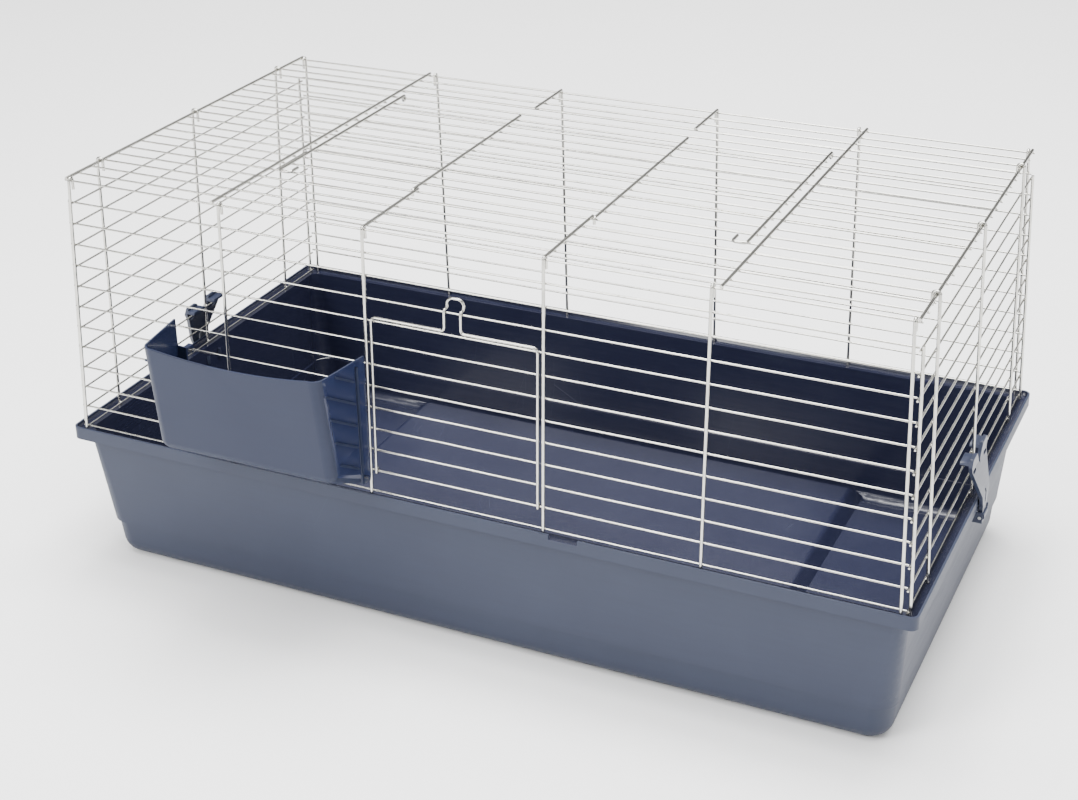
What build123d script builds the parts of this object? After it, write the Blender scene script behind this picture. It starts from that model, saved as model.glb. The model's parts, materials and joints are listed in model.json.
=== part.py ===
"""Indoor wire rabbit cage: a deep moulded tray that carries five welded wire panels, with a drop-down
front door, a lift-up roof hatch, a hang-on feeder and two clips that hold the wire top on the tray.

X runs along the length, -Y is the front, Z is up. The origin is on the floor under the middle of
everything, so the cage's own middle plane lies at mid_y, behind the feeder's overhang.
"""

import os
from math import atan, cos, pi, radians, sin, tan

from build123d import *

# ---- tray ----
rim_length, rim_depth = 1008.0, 532.0
rim_top = 178.0
rim_skirt = 15.0            # height of the band round the rim
rim_wall = 2.5
rim_corner = 9.0
ledge_drop = 6.0            # the wire top stands this far below the rim's lip
ledge_thick = 3.0
body_length, body_depth = 984.0, 512.0    # body just under the rim
band_length, band_depth = 961.0, 491.0    # top of the foot band, below the crease
floor_length, floor_depth = 955.0, 485.0  # foot band at the floor
foot_rounding = 22.0        # bottom edge all round
tray_wall = 3.0
step_height = 48.0          # crease between the body and its inset foot band
step_inset = 2.5
foot_inner_x = 300.0        # the feet reach from here to the ends
foot_lift = 6.0             # gap under the middle of the tray
deck_rise = 16.0            # raised middle of the floor inside
floor_radius = 12.0
deck_slope = 40.0           # degrees from upright, at the deck's two ends
deck_cove = 18.0            # rounding where the deck meets the long walls
deck_brow = 8.0             # rounding of the deck's two ends
lip_notch = 33.0            # drain notch in the front lip, beside the door

# ---- wire top ----
bar_r = 1.1                 # thin horizontal wires
upright_r = 1.75            # thick wires with hooks
door_r = 1.5
weld = 0.1                  # bite of one wire into the next
run = 0.08                  # play of an eye on its hinge wire
roof_rise = 304.4           # roof wires above the rim
base_half_x, base_half_y = 491.0, 258.5
roof_half_x, roof_half_y = 480.0, 247.5
bar_rows = 12
bar_rise = 2.0              # lowest front wire above the rim
bar_pitch = 25.2
side_drop = 4.4             # side bars lie this far below the front and back bars
upright_x = (103.0, 279.0)  # front and back uprights, each side of the middle
upright_y = (-188.0, 0.0, 188.0)
roof_rows = 22
cross_x = (115.0, 288.0)    # thick roof wires, each side of the middle
hook_tail = 11.0

# ---- front door ----
door_half = 96.5
door_rows = range(2, 8)     # bar rows that belong to the door
hinge_row, sill_row, lintel_row, latch_row = 1, 0, 8, 9
door_top_rise = 5.0         # door's top wire above the lintel wire
handle_half = 9.5
handle_in = 5.0
handle_rise = 11.0

# ---- roof hatch ----
hatch_rows = range(6, 17)   # roof rows that belong to the hatch
hatch_rest_row, hatch_hinge_row = 5, 17
hatch_half = 274.0
hatch_inner_x = 107.0
hatch_finger = 15.0

# ---- feeder ----
feeder_mid_x = -222.0
feeder_back, feeder_front = 241.0, 219.0    # widths at the wires and at the top of the front
feeder_deep_top, feeder_deep_low = 77.0, 61.0
feeder_rise = (10.0, 40.0, 167.0)    # back bottom, front bottom and top edge, above the rim
feeder_wall = 2.2
feeder_rounding = 14.0      # edges round the front
feeder_dip = 7.0            # dip in the front edge
feeder_gap = 0.6            # between the feeder and the uprights it hangs beside
feeder_ribs = 5
feeder_rib_pitch = 26.0
feeder_rib_slope = 31.0     # degrees, down towards the wires
feeder_tab = (14.0, 34.0)   # width and height of the tabs that carry the hooks
feeder_lip = 16.0           # low edge against the wires
feeder_rib_raise = 2.0
feeder_hook_row = 5
feeder_hook_inset = 9.0

# ---- clips ----
clip_drop = 23.0            # pin below the rim's top
clip_axis_x = 507.5
clip_thick = 4.0
clip_pad_r = 10.5
clip_pin_r = 2.0
clip_barrel_r = 4.5
clip_half_top = 36.0
clip_rise = 56.0            # top of the clip above the rim
clip_bar_row = 2            # end bar that the clips reach over
ear_thick = 3.0

# ---- derived ----
base_z, roof_z = rim_top - ledge_drop, rim_top + roof_rise
weld_gap = bar_r + upright_r - weld
feeder_back_z, feeder_front_z, feeder_high = [rim_top + rise for rise in feeder_rise]
clip_axis_z, clip_top_z = rim_top - clip_drop, rim_top + clip_rise
feeder_y0 = base_half_y + weld_gap + upright_r + feeder_gap
feeder_reach = feeder_y0 + feeder_deep_top
mid_y = (feeder_reach - rim_depth / 2) / 2
ground = Plane(origin=(0, mid_y, 0))
bar_z = [rim_top + bar_rise + row * bar_pitch for row in range(bar_rows)]
roof_pitch = 2 * roof_half_y / (roof_rows - 1)
roof_y = [mid_y - roof_half_y + row * roof_pitch for row in range(roof_rows)]
lean = atan((base_half_y - roof_half_y) / (roof_z - base_z))
end_wire_z = roof_z + weld_gap

os.makedirs("parts", exist_ok=True)


def half_x(z):
    """Half length of the wire walls at height z: they lean in towards the roof."""
    return base_half_x + (roof_half_x - base_half_x) * (z - base_z) / (roof_z - base_z)


def half_y(z):
    """Half depth of the wire walls at height z."""
    return base_half_y + (roof_half_y - base_half_y) * (z - base_z) / (roof_z - base_z)


def on_wall(side, along, z, out=0.0):
    """Point on a wire wall: how far along it, at what height, how far outside its thin wires."""
    if side == "front":
        return Vector(along, mid_y - half_y(z) - out, z)
    if side == "back":
        return Vector(along, mid_y + half_y(z) + out, z)
    if side == "left":
        return Vector(-half_x(z) - out, mid_y + along, z)
    return Vector(half_x(z) + out, mid_y + along, z)


def bent_wire(points, radii, radius):
    """Round wire bent through the points, with one bend radius per inner point."""
    with BuildPart() as wire:
        with BuildLine() as path:
            if len(points) > 2:
                FilletPolyline(*points, radius=radii)
            else:
                Line(*points)
        with BuildSketch(Plane(origin=path.wire() @ 0, z_dir=path.wire() % 0)):
            Circle(radius)
        sweep(path=path.wire())
    return wire.part


def hooked_upright(side, along_base, along_top, edge_z, edge_r):
    """Thick wire that stands on the tray's ledge and curls over an edge wire of the roof."""
    reach = edge_r + upright_r + 0.05
    top_z = edge_z + reach
    foot = on_wall(side, along_base, base_z + 0.4, weld_gap)
    outer = on_wall(side, along_top, top_z, weld_gap)
    inward = (on_wall(side, along_top, top_z, 0) - outer).normalized()
    inner = outer + inward * 2 * reach
    tail = inner - Vector(0, 0, reach + hook_tail)
    return bent_wire([foot, outer, inner, tail], reach * 0.93, upright_r)


# ================= tray =================
# cavity of the tray, with the raised deck left standing in its middle
well_x = foot_inner_x + 15
with BuildPart() as tray_hollow:
    with BuildSketch(ground.offset(tray_wall)):
        RectangleRounded(floor_length - 2 * tray_wall, floor_depth - 2 * tray_wall, 24)
    with BuildSketch(ground.offset(step_height)):
        RectangleRounded(band_length - 2 * tray_wall, band_depth - 2 * tray_wall, 22)
    loft()
    fillet(tray_hollow.faces().sort_by(Axis.Z)[0].edges(), floor_radius)
    with BuildSketch(ground.offset(tray_wall)):
        Rectangle(2 * well_x, band_depth)
    extrude(amount=deck_rise, taper=deck_slope, mode=Mode.SUBTRACT)
    deck_top = tray_hollow.faces().filter_by(Plane.XY).group_by(Axis.Z)[1]
    fillet(deck_top.edges().filter_by(Axis.X), deck_cove)
    deck_top = tray_hollow.faces().filter_by(Plane.XY).group_by(Axis.Z)[1]
    fillet(deck_top.edges().filter_by(Axis.Y), deck_brow)
    with BuildSketch(ground.offset(step_height)):
        RectangleRounded(band_length + 2 * step_inset - 2 * tray_wall,
                         band_depth + 2 * step_inset - 2 * tray_wall, 21)
    with BuildSketch(ground.offset(rim_top + 1)):
        RectangleRounded(body_length - 2 * tray_wall, body_depth - 2 * tray_wall, 10)
    loft()

with BuildPart() as base_tray:
    with BuildSketch(ground.offset(step_height)):
        RectangleRounded(band_length + 2 * step_inset, band_depth + 2 * step_inset, 24)
    with BuildSketch(ground.offset(base_z)):
        RectangleRounded(body_length, body_depth, 12)
    loft()
    with BuildSketch(ground):
        RectangleRounded(floor_length, floor_depth, 28)
    with BuildSketch(ground.offset(step_height)):
        RectangleRounded(band_length, band_depth, 24)
    loft()
    fillet(base_tray.faces().sort_by(Axis.Z)[0].edges(), foot_rounding)
    with BuildSketch(ground):
        Rectangle(2 * foot_inner_x, band_depth)
    extrude(amount=foot_lift, mode=Mode.SUBTRACT)
    # the deck is hollow from below
    with BuildSketch(ground):
        RectangleRounded(2 * foot_inner_x, floor_depth - 40, 20)
    extrude(amount=deck_rise, taper=20, mode=Mode.SUBTRACT)
    # the rim: a flat ledge for the wire top inside a lip, with a skirt round it
    with BuildSketch(ground.offset(base_z - ledge_thick)):
        RectangleRounded(rim_length, rim_depth, rim_corner)
    extrude(amount=ledge_thick)
    with BuildSketch(ground.offset(rim_top - rim_skirt)):
        RectangleRounded(rim_length, rim_depth, rim_corner)
        RectangleRounded(rim_length - 2 * rim_wall, rim_depth - 2 * rim_wall, rim_corner - rim_wall,
                         mode=Mode.SUBTRACT)
    extrude(amount=rim_skirt)
    add(tray_hollow.part, mode=Mode.SUBTRACT)
    # notch in the front lip beside the door, which drains the ledge
    with BuildSketch(Plane(origin=(upright_x[0] + 8 + lip_notch / 2, mid_y - rim_depth / 2, base_z + 1))):
        Rectangle(lip_notch, 4 * rim_wall)
    extrude(amount=ledge_drop, mode=Mode.SUBTRACT)
    # ears that carry the clips' pins, under the middle of each end
    for end in (-1, 1):
        for ear_y in (-1, 1):
            with BuildSketch(Plane(origin=(0, mid_y + ear_y * (clip_pad_r + ear_thick / 2 + 0.3), 0),
                                   x_dir=(1, 0, 0), z_dir=(0, -1, 0))):
                with Locations((end * (clip_axis_x - 10), clip_axis_z)):
                    Rectangle(26, 12)
            extrude(amount=ear_thick / 2, both=True)
    with BuildSketch(Plane.XZ.offset(-mid_y)):
        with Locations((-clip_axis_x, clip_axis_z), (clip_axis_x, clip_axis_z)):
            Circle(clip_pin_r)
    extrude(amount=40, both=True, mode=Mode.SUBTRACT)
base_tray.part.label = "base_tray"
export_step(base_tray.part, "parts/base_tray.step")


# ================= wire walls =================
# Front wall: the wires stay clear of the doorway, so they come in groups round it.
def long_bars(side, rows, from_x, to_x, drop=0.0):
    """Straight horizontal wires of the front or back wall, between two places along it."""
    bars = []
    for row in rows:
        z = bar_z[row] - drop
        ends = [min(max(x, -half_x(z)), half_x(z)) for x in (from_x, to_x)]
        bars.append(bent_wire([on_wall(side, x, z) for x in ends], None, bar_r))
    return bars


corner_inset = 5.0
stub = 3.0
doorway = upright_x[0]
all_rows = range(bar_rows)
over_door = [row for row in all_rows if row >= lintel_row]
under_door = [sill_row, hinge_row]

with BuildPart() as front_sill_bars:
    add(long_bars("front", under_door, -600, 600))
front_sill_bars.part.label = "front_sill_bars"
export_step(front_sill_bars.part, "parts/front_sill_bars.step")

with BuildPart() as front_lintel_bars:
    add(long_bars("front", over_door, -600, 600))
front_lintel_bars.part.label = "front_lintel_bars"
export_step(front_lintel_bars.part, "parts/front_lintel_bars.step")

with BuildPart() as front_left_bars:
    add(long_bars("front", door_rows, -600, -doorway + stub))
front_left_bars.part.label = "front_left_bars"
export_step(front_left_bars.part, "parts/front_left_bars.step")

with BuildPart() as front_right_bars:
    add(long_bars("front", door_rows, doorway - stub, 600))
front_right_bars.part.label = "front_right_bars"
export_step(front_right_bars.part, "parts/front_right_bars.step")

corner_base = half_x(base_z) - corner_inset
corner_top = half_x(roof_z) - corner_inset
row_ends = [(x, x) for x in upright_x] + [(corner_base, corner_top)]

with BuildPart() as front_left_uprights:
    for low_x, high_x in row_ends:
        add(hooked_upright("front", -low_x, -high_x, roof_z, bar_r))
front_left_uprights.part.label = "front_left_uprights"
export_step(front_left_uprights.part, "parts/front_left_uprights.step")

with BuildPart() as front_right_uprights:
    for low_x, high_x in row_ends:
        add(hooked_upright("front", low_x, high_x, roof_z, bar_r))
front_right_uprights.part.label = "front_right_uprights"
export_step(front_right_uprights.part, "parts/front_right_uprights.step")

with BuildPart() as back_bars:
    add(long_bars("back", all_rows, -600, 600))
back_bars.part.label = "back_bars"
export_step(back_bars.part, "parts/back_bars.step")

with BuildPart() as back_uprights:
    for low_x, high_x in row_ends:
        add(hooked_upright("back", -low_x, -high_x, roof_z, bar_r))
        add(hooked_upright("back", low_x, high_x, roof_z, bar_r))
back_uprights.part.label = "back_uprights"
export_step(back_uprights.part, "parts/back_uprights.step")

# End walls: their bars run a little lower than the front's, and their corner wires stop
# under the first bar instead of hooking over the roof.
end_corner_r = 1.4
for side in ("left", "right"):
    with BuildPart() as end_bars:
        for row in all_rows:
            z = bar_z[row] - side_drop
            reach = half_y(z) - bar_r - 0.3
            add(bent_wire([on_wall(side, -reach, z), on_wall(side, reach, z)], None, bar_r))
    end_bars.part.label = side + "_bars"
    export_step(end_bars.part, "parts/" + side + "_bars.step")

    with BuildPart() as end_uprights:
        for along in upright_y:
            add(hooked_upright(side, along, along, end_wire_z, upright_r))
        for corner in (-1, 1):
            low, high = [corner * (half_y(z) - corner_inset) for z in (base_z, bar_z[-1])]
            corner_out = bar_r + end_corner_r - weld
            add(bent_wire([on_wall(side, low, base_z + 0.4, corner_out),
                           on_wall(side, high, bar_z[-1], corner_out)], None, end_corner_r))
    end_uprights.part.label = side + "_uprights"
    export_step(end_uprights.part, "parts/" + side + "_uprights.step")


# ================= roof =================
roof_end_x = roof_half_x + weld_gap - upright_r - upright_r - 0.05


def roof_bars(rows, from_x, to_x):
    """Thin roof wires along the cage."""
    return [bent_wire([Vector(from_x, roof_y[row], roof_z), Vector(to_x, roof_y[row], roof_z)],
                      None, bar_r) for row in rows]


def roof_wire(x, from_y, to_y, z=end_wire_z):
    """Thick roof wire across the cage, on top of the thin ones."""
    return bent_wire([Vector(x, from_y, z), Vector(x, to_y, z)], None, upright_r)


bar_end = roof_end_x + 3.0
hatch_gap_x = cross_x[1] - stub
roof_groups = {
    "roof_front_bars": (range(0, hatch_rest_row + 1), -bar_end, bar_end),
    "roof_rear_bars": (range(hatch_hinge_row, roof_rows), -bar_end, bar_end),
    "roof_left_bars": (hatch_rows, -bar_end, -hatch_gap_x),
    "roof_right_bars": (hatch_rows, hatch_gap_x, bar_end),
}
for name, (rows, from_x, to_x) in roof_groups.items():
    with BuildPart() as bars:
        add(roof_bars(rows, from_x, to_x))
    bars.part.label = name
    export_step(bars.part, "parts/" + name + ".step")

edge = roof_half_y + 2.0
for end, name in ((-1, "roof_left_cross_wires"), (1, "roof_right_cross_wires")):
    with BuildPart() as cross_wires:
        add([roof_wire(end * x, mid_y - edge, mid_y + edge) for x in (cross_x[1], roof_end_x)])
    cross_wires.part.label = name
    export_step(cross_wires.part, "parts/" + name + ".step")

for name, ends in (
    ("roof_front_cross_wires", (mid_y - edge, roof_y[hatch_rest_row] + 2)),
    ("roof_rear_cross_wires", (roof_y[hatch_hinge_row + 1] - 4, mid_y + edge)),
):
    with BuildPart() as cross_wires:
        add([roof_wire(x, *ends) for x in (-cross_x[0], cross_x[0])])
    cross_wires.part.label = name
    export_step(cross_wires.part, "parts/" + name + ".step")


# ================= front door =================
# The frame is one bent wire: an eye round the hinge wire, up the side, along the top, round the
# handle that reaches over the latch wire, and down the other side to the second eye.
hinge = on_wall("front", 0, bar_z[hinge_row])
eye_r = bar_r + run + door_r
frame_out = eye_r / cos(lean)
tangent_z = hinge.Z + eye_r * sin(lean)
top_z = bar_z[lintel_row] + door_top_rise
shoulder_z = bar_z[latch_row] + bar_r + 0.35 + door_r
head_z = shoulder_z + handle_rise


def eye_point(x, turn):
    """Point on an eye's centre line: turn is the angle from where the frame meets it, in radians."""
    start = pi - lean
    return Vector(x, hinge.Y + eye_r * cos(start + turn), hinge.Z + eye_r * sin(start + turn))


eye_turn = 1.6 * pi
with BuildPart() as door_frame:
    with BuildLine() as frame_path:
        corners = [on_wall("front", -door_half, tangent_z, frame_out),
                   on_wall("front", -door_half, top_z, frame_out),
                   on_wall("front", -handle_half, top_z, frame_out),
                   on_wall("front", -handle_half, shoulder_z, frame_out),
                   on_wall("front", -handle_half, shoulder_z, -handle_in),
                   on_wall("front", -handle_half, head_z, -handle_in)]
        mirrored = [Vector(-p.X, p.Y, p.Z) for p in reversed(corners)]
        bends = [6.0, 4.0, 2.4, 2.4, 7.0]
        FilletPolyline(*(corners + mirrored), radius=bends + list(reversed(bends)))
        for x in (-door_half, door_half):
            ThreePointArc(eye_point(x, 0), eye_point(x, eye_turn / 2), eye_point(x, eye_turn))
    path = frame_path.wire()
    with BuildSketch(Plane(origin=path @ 0, z_dir=path % 0)):
        Circle(door_r)
    sweep(path=path)
door_frame.part.label = "door_frame"
export_step(door_frame.part, "parts/door_frame.step")

with BuildPart() as door_bars:
    for row in door_rows:
        add(bent_wire([on_wall("front", x, bar_z[row], 0.15) for x in (-door_half - 0.8, door_half + 0.8)],
                      None, bar_r))
door_bars.part.label = "door_bars"
export_step(door_bars.part, "parts/door_bars.step")


# ================= roof hatch =================
# Two outer wires have eyes round a roof bar at the rear and a finger hook over one at the front;
# two inner wires only rest on that front bar, with their tips bent down past it.
hatch_eye_r = bar_r + run + upright_r
hatch_z = roof_z + hatch_eye_r
hinge_y, rest_y = roof_y[hatch_hinge_row], roof_y[hatch_rest_row]
nose_y = rest_y - 7.0


def hatch_eye(x, turn):
    """Point on the centre line of a hatch wire's eye round its hinge bar."""
    return Vector(x, hinge_y + hatch_eye_r * sin(turn), roof_z + hatch_eye_r * cos(turn))


with BuildPart() as hatch_frame:
    for end in (-1, 1):
        x, finger_x = end * hatch_half, end * (hatch_half - hatch_finger)
        with BuildLine() as frame_path:
            FilletPolyline((finger_x, rest_y + 9, hatch_z), (finger_x, nose_y, hatch_z),
                           (x, nose_y, hatch_z), (x, hinge_y, hatch_z), radius=4.0)
            ThreePointArc(hatch_eye(x, 0), hatch_eye(x, 0.8 * pi), hatch_eye(x, 1.6 * pi))
        path = frame_path.wire()
        with BuildSketch(Plane(origin=path @ 0, z_dir=path % 0)):
            Circle(upright_r)
        sweep(path=path)
    for x in (-hatch_inner_x, hatch_inner_x):
        tip_y = rest_y - bar_r - upright_r - 0.6
        add(bent_wire([(x, tip_y, roof_z - 4), (x, tip_y, hatch_z), (x, roof_y[16] + 9, hatch_z)],
                      1.95, upright_r))
hatch_frame.part.label = "hatch_frame"
export_step(hatch_frame.part, "parts/hatch_frame.step")

with BuildPart() as hatch_bars:
    for row in hatch_rows:
        add(bent_wire([(x, roof_y[row], roof_z + 0.15) for x in (-hatch_half - stub, hatch_half + stub)],
                      None, bar_r))
hatch_bars.part.label = "hatch_bars"
export_step(hatch_bars.part, "parts/hatch_bars.step")


# ================= feeder =================
# A trough that hangs outside the front wires beside the door, open at the top and towards them.
feeder_y = mid_y - feeder_y0
feeder_flare = atan((feeder_back - feeder_front) / 2 / feeder_deep_top)
hook_z = bar_z[feeder_hook_row] + bar_r + 0.3
hook_y = mid_y - half_y(hook_z) + bar_r + 0.4
with BuildSketch(Plane.YZ) as hook_side:
    with BuildLine():
        Polyline((feeder_y - feeder_wall, hook_z - 12), (feeder_y, hook_z), (hook_y, hook_z),
                 (hook_y, hook_z - 7), (hook_y + 2.8, hook_z - 7), (hook_y + 2.8, hook_z + 2.8),
                 (feeder_y - feeder_wall, hook_z + 2.8), close=True)
    make_face()

with BuildPart() as feeder:
    with BuildSketch(Plane.YZ.offset(feeder_mid_x)):
        with BuildLine():
            Polyline((feeder_y, feeder_back_z), (feeder_y, feeder_high),
                     (feeder_y - feeder_deep_top, feeder_high),
                     (feeder_y - feeder_deep_low, feeder_front_z), close=True)
        make_face()
    extrude(amount=feeder_back, both=True)
    with BuildSketch(Plane(origin=(feeder_mid_x, feeder_y, rim_top))):
        with BuildLine():
            Polyline((-feeder_back / 2, 0), (feeder_back / 2, 0), (feeder_front / 2, -feeder_deep_top),
                     (-feeder_front / 2, -feeder_deep_top), close=True)
        make_face()
    extrude(amount=feeder_high, mode=Mode.INTERSECT)
    open_sides = [feeder.faces().sort_by(Axis.Z)[-1], feeder.faces().sort_by(Axis.Y)[-1]]
    mouth_edges = open_sides[0].edges() + open_sides[1].edges()
    fillet([edge for edge in feeder.edges() if edge not in mouth_edges], feeder_rounding)
    top_face = feeder.faces().sort_by(Axis.Z)[-1]
    back_face = feeder.faces().sort_by(Axis.Y)[-1]
    offset(amount=-feeder_wall, openings=[top_face, back_face])
    # the front edge dips in the middle
    dip_radius = (feeder_front - 2 * feeder_rounding) ** 2 / (8 * feeder_dip) + feeder_dip / 2
    with BuildSketch(Plane.XZ.offset(-feeder_y + 40)):
        with Locations((feeder_mid_x, feeder_high - feeder_dip + dip_radius)):
            Circle(dip_radius)
    extrude(amount=60, mode=Mode.SUBTRACT)
    # low lip along the bottom of the open back, and a tab behind each end
    with BuildSketch(Plane.XZ.offset(-feeder_y)):
        with Locations((feeder_mid_x, feeder_back_z + feeder_lip / 2)):
            Rectangle(feeder_back - 2 * feeder_rounding, feeder_lip)
        for end in (-1, 1):
            with Locations((feeder_mid_x + end * (feeder_back - feeder_tab[0]) / 2, hook_z - feeder_tab[1] / 3)):
                Rectangle(*feeder_tab)
    extrude(amount=feeder_wall)
    # hooks on the tabs that reach between the wires and rest on a front bar
    for end in (-1, 1):
        hook_x = feeder_mid_x + end * (feeder_back / 2 - feeder_hook_inset)
        extrude(hook_side.sketch.moved(Location((hook_x, 0, 0))), amount=3, both=True)
    # slanting ribs outside each end, and a raised strip beside the flange
    for end in (-1, 1):
        outward = Vector(end * cos(feeder_flare), -sin(feeder_flare), 0)
        forward = Vector(-end * sin(feeder_flare), -cos(feeder_flare), 0)
        with BuildSketch(Plane(origin=(feeder_mid_x + end * feeder_back / 2, feeder_y, rim_top),
                               x_dir=forward, z_dir=outward)) as end_lines:
            for rib in range(feeder_ribs):
                rib_rise = 41 + feeder_rib_pitch * rib
                rib_run = min(30 + 6 * rib, (feeder_rise[2] - rib_rise - 4) / tan(radians(feeder_rib_slope)))
                rib_mid = (20 + rib_run / 2, -end * (rib_rise + rib_run / 2 * tan(radians(feeder_rib_slope))), 0)
                with Locations(Location(rib_mid, (0, 0, -end * feeder_rib_slope))):
                    SlotOverall(rib_run / cos(radians(feeder_rib_slope)), 2.4)
            with Locations((15, -end * 90)):
                Rectangle(3, 140)
        extrude(amount=feeder_rib_raise)
        extrude(end_lines.sketch, amount=-1)
feeder.part.label = "feeder"
export_step(feeder.part, "parts/feeder.step")


# ================= clips =================
# Each clip turns on a pin under the rim; its two wings reach over an end bar of the wire top.
clip_bar = on_wall("right", 0, bar_z[clip_bar_row] - side_drop)
clip_face = clip_axis_x - clip_thick / 2
with BuildPart() as right_clip:
    with BuildSketch(Plane.XZ.offset(-mid_y)):
        with BuildLine():
            shelf_z = clip_bar.Z + bar_r + 0.3
            Polyline((clip_face, clip_axis_z - clip_pad_r), (clip_face + clip_thick, clip_axis_z - clip_pad_r),
                     (clip_face + clip_thick, rim_top + 4), (499.2, rim_top + 41), (499.2, clip_top_z),
                     (495.2, clip_top_z),
                     (495.2, shelf_z + 3), (clip_bar.X - 3.8, shelf_z + 3), (clip_bar.X - 3.8, shelf_z),
                     (495.2, shelf_z), (495.2, rim_top + 40.5), (clip_face, rim_top + 3), close=True)
        make_face()
    extrude(amount=clip_half_top, both=True)
    fillet(right_clip.edges().filter_by(Axis.Y).group_by(Axis.Z)[-1], 1.2)
    with BuildSketch(Plane(origin=(clip_axis_x, mid_y, 0), x_dir=(0, 1, 0), z_dir=(1, 0, 0))) as clip_outline:
        with BuildLine():
            wing_z, neck_z = clip_bar.Z, rim_top - 10
            Polyline((-clip_half_top, wing_z), (-31, clip_top_z), (-14, clip_top_z), (0, wing_z - 11),
                     (14, clip_top_z), (31, clip_top_z), (clip_half_top, wing_z), (9.5, neck_z), (9.5, clip_axis_z),
                     (-9.5, clip_axis_z), (-9.5, neck_z), close=True)
        make_face()
        fillet(clip_outline.vertices().group_by(Axis.Y)[-1], 4)
        fillet(clip_outline.vertices().filter_by_position(Axis.Y, neck_z - 1, neck_z + 1), 8)
        with Locations((0, clip_axis_z)):
            Circle(clip_pad_r)
        with Locations((0, rim_top - 1)):
            SlotOverall(18, 4, rotation=90, mode=Mode.SUBTRACT)
        with Locations((-24, wing_z - 9), (24, wing_z - 9)):
            SlotOverall(12, 3.4, mode=Mode.SUBTRACT)
    extrude(amount=40, both=True, mode=Mode.INTERSECT)
    with BuildSketch(Plane.XZ.offset(-mid_y)):
        with Locations((clip_axis_x, clip_axis_z)):
            Circle(clip_barrel_r)
    extrude(amount=clip_pad_r - 1, both=True)
    with BuildSketch(Plane.XZ.offset(-mid_y)):
        with Locations((clip_axis_x, clip_axis_z)):
            Circle(clip_pin_r + 0.05)
    extrude(amount=clip_pad_r, both=True, mode=Mode.SUBTRACT)
right_clip.part.label = "right_clip"
export_step(right_clip.part, "parts/right_clip.step")

with BuildPart() as left_clip:
    mirror(right_clip.part, about=Plane.YZ)
left_clip.part.label = "left_clip"
export_step(left_clip.part, "parts/left_clip.step")

pin_half = clip_pad_r + 0.3 + ear_thick
for end, name in ((-1, "left_clip_pin"), (1, "right_clip_pin")):
    with BuildPart() as clip_pin:
        with BuildSketch(Plane.XZ.offset(-mid_y)):
            with Locations((end * clip_axis_x, clip_axis_z)):
                Circle(clip_pin_r)
        extrude(amount=pin_half, both=True)
        chamfer(clip_pin.edges(), 0.3)
    clip_pin.part.label = name
    export_step(clip_pin.part, "parts/" + name + ".step")
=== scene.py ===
"""Looks of the wire rabbit cage: bright zinc wire on a moulded plastic tray, with its feeder and clips.

Everything is in metres in the CAD frame: X along the cage, -Y to the front, Z up.
"""

import json
import math

import bmesh
import bpy
from mathutils import Matrix, Vector


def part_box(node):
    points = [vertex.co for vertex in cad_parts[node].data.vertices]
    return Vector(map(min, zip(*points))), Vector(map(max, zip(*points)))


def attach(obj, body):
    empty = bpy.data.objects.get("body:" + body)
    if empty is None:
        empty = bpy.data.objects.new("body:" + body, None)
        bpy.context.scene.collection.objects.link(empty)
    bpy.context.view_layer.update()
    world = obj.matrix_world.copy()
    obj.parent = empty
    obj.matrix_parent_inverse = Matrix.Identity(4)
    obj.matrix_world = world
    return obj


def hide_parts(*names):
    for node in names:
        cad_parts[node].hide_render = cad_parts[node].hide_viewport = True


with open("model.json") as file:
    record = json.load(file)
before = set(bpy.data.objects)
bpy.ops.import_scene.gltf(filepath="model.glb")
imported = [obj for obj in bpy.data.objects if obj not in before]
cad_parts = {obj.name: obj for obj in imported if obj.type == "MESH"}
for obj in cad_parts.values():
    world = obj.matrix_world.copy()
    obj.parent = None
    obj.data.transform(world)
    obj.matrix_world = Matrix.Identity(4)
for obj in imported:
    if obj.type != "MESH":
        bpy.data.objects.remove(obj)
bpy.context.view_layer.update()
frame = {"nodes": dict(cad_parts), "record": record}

# ---- sizes and places, from the frame ----
TRAY_LOW, TRAY_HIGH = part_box("base_tray")
FEEDER_LOW, FEEDER_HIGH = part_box("feeder")
MM = 0.001
RIM_TOP = TRAY_HIGH.z
MID_Y = (TRAY_HIGH.y + TRAY_LOW.y) / 2
BAR_R = 1.1 * MM
UPRIGHT_R = 1.75 * MM
WELD_SINK = 0.1 * MM                           # how far two welded wires melt into each other
WELD_GAP = BAR_R + UPRIGHT_R - WELD_SINK       # between the middles of a thin and a thick wire
HOOK_PLAY = 0.05 * MM                          # room between a hook and the edge wire inside it
LEDGE_DEPTH = 6 * MM
BASE_Z = RIM_TOP - LEDGE_DEPTH
FOOT_RISE = 0.4 * MM                           # room between an upright's foot and the tray's ledge
ROOF_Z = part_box("roof_front_bars")[0].z + BAR_R
BASE_HALF = Vector((491 * MM, 258.5 * MM))     # half length and half depth of the wire walls at the tray
ROOF_HALF = Vector((480 * MM, 247.5 * MM))     # the same at the roof
BAR_ROWS = 12
BAR_Z0 = RIM_TOP + 2 * MM
BAR_PITCH = 25.2 * MM
SIDE_DROP = 4.4 * MM
UPRIGHT_X = (103 * MM, 279 * MM)
UPRIGHT_Y = (-188 * MM, 0.0, 188 * MM)
ROOF_ROWS = 22
ROOF_PITCH = 2 * ROOF_HALF.y / (ROOF_ROWS - 1)
CROSS_X = (115 * MM, 288 * MM)
HOOK_TAIL = 11 * MM
END_WIRE_Z = ROOF_Z + WELD_GAP
CORNER_INSET = 5 * MM
STUB = 3 * MM


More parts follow.
